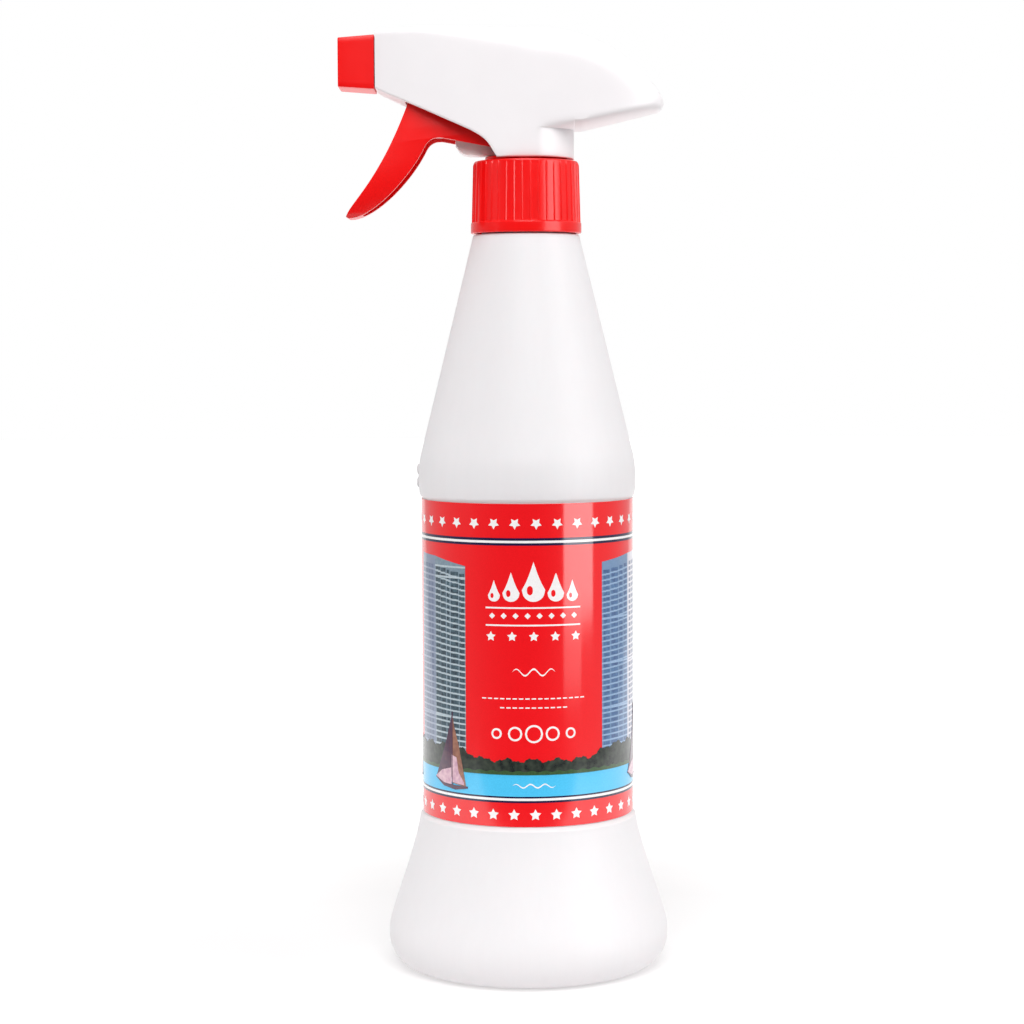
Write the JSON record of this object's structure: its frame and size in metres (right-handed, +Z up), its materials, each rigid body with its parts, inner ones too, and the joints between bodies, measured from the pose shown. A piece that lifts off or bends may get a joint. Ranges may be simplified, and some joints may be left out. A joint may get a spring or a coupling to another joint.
{
  "type": "trigger spray bottle",
  "caption": "Waisted white plastic bottle with a wrap label and a screw-on red and white trigger sprayer with turning nozzle.",
  "frame": {"origin": "centre of the plane the bottle stands on, on the bottle's axis", "axes": "+Z up along the bottle's axis, -X the way the nozzle points, Y across the sprayer"},
  "size_m": [0.0923, 0.0796, 0.265],
  "materials": {
    "hdpe_milky": "milky translucent blow-moulded HDPE, satin",
    "label_film": "printed gloss film, red with white, navy and blue print",
    "red_pp_collar": "moulded red polypropylene, ribbed",
    "red_pp": "moulded red polypropylene",
    "white_pp": "moulded white polypropylene",
    "natural_pp": "natural translucent polypropylene",
    "clear_pe": "extruded clear polyethylene",
    "seal_foam": "expanded polyethylene liner",
    "seal_rubber": "grey elastomer",
    "steel_wire": "stainless spring wire",
    "steel_ball": "polished stainless ball"
  },
  "bodies": {
    "bottle": {"bottle": "hdpe_milky", "label": "label_film"},
    "sprayer": {"pump_body": "natural_pp", "shroud": "white_pp", "neck_gasket": "seal_foam", "tube_retainer": "natural_pp", "dip_tube": "clear_pe", "outlet_seat": "natural_pp", "outlet_spring": "steel_wire", "return_spring": "steel_wire", "swirl_insert": "natural_pp"},
    "collar": {"collar": "red_pp_collar"},
    "trigger": {"trigger": "red_pp"},
    "piston": {"piston": "natural_pp", "piston_cup": "seal_rubber"},
    "nozzle": {"nozzle_cap": "red_pp", "nozzle_seal": "seal_rubber"},
    "inlet_ball": {"inlet_ball": "steel_ball"},
    "outlet_ball": {"outlet_ball": "steel_ball"}
  },
  "joints": [
    {"name": "sprayer_rise", "type": "slide", "parent": "bottle", "child": "sprayer", "axis": [0, 0, 1], "range_m": [0, 0.0058]},
    {"name": "collar_turn", "type": "hinge", "parent": "sprayer", "child": "collar", "pos_m": [0, 0, 0.2155], "axis": [0, 0, 1], "range_deg": [0, 450]},
    {"name": "trigger_pull", "type": "hinge", "parent": "sprayer", "child": "trigger", "pos_m": [-0.027, 0, 0.2552], "axis": [0, -1, 0], "range_deg": [0, 22], "stiffness_Nm_per_rad": 0.8, "springref_deg": -14.32},
    {"name": "piston_stroke", "type": "slide", "parent": "sprayer", "child": "piston", "axis": [1, 0, 0], "range_m": [0, 0.0067], "deforming": ["return_spring"]},
    {"name": "nozzle_turn", "type": "hinge", "parent": "sprayer", "child": "nozzle", "pos_m": [-0.047, 0, 0.2552], "axis": [-1, 0, 0], "continuous": true},
    {"name": "inlet_ball_lift", "type": "slide", "parent": "sprayer", "child": "inlet_ball", "axis": [0, 0, 1], "range_m": [0, 0.001]},
    {"name": "outlet_ball_lift", "type": "slide", "parent": "sprayer", "child": "outlet_ball", "axis": [0, 0, 1], "range_m": [0, 0.001], "stiffness_N_per_m": 40, "springref_m": -0.001, "deforming": ["outlet_spring"]}
  ],
  "couplings": [
    {"joint": "sprayer_rise", "follows": "collar_turn", "m_per_rad": 0.00067323},
    {"joint": "piston_stroke", "follows": "trigger_pull", "m_per_rad": 0.01722}
  ]
}
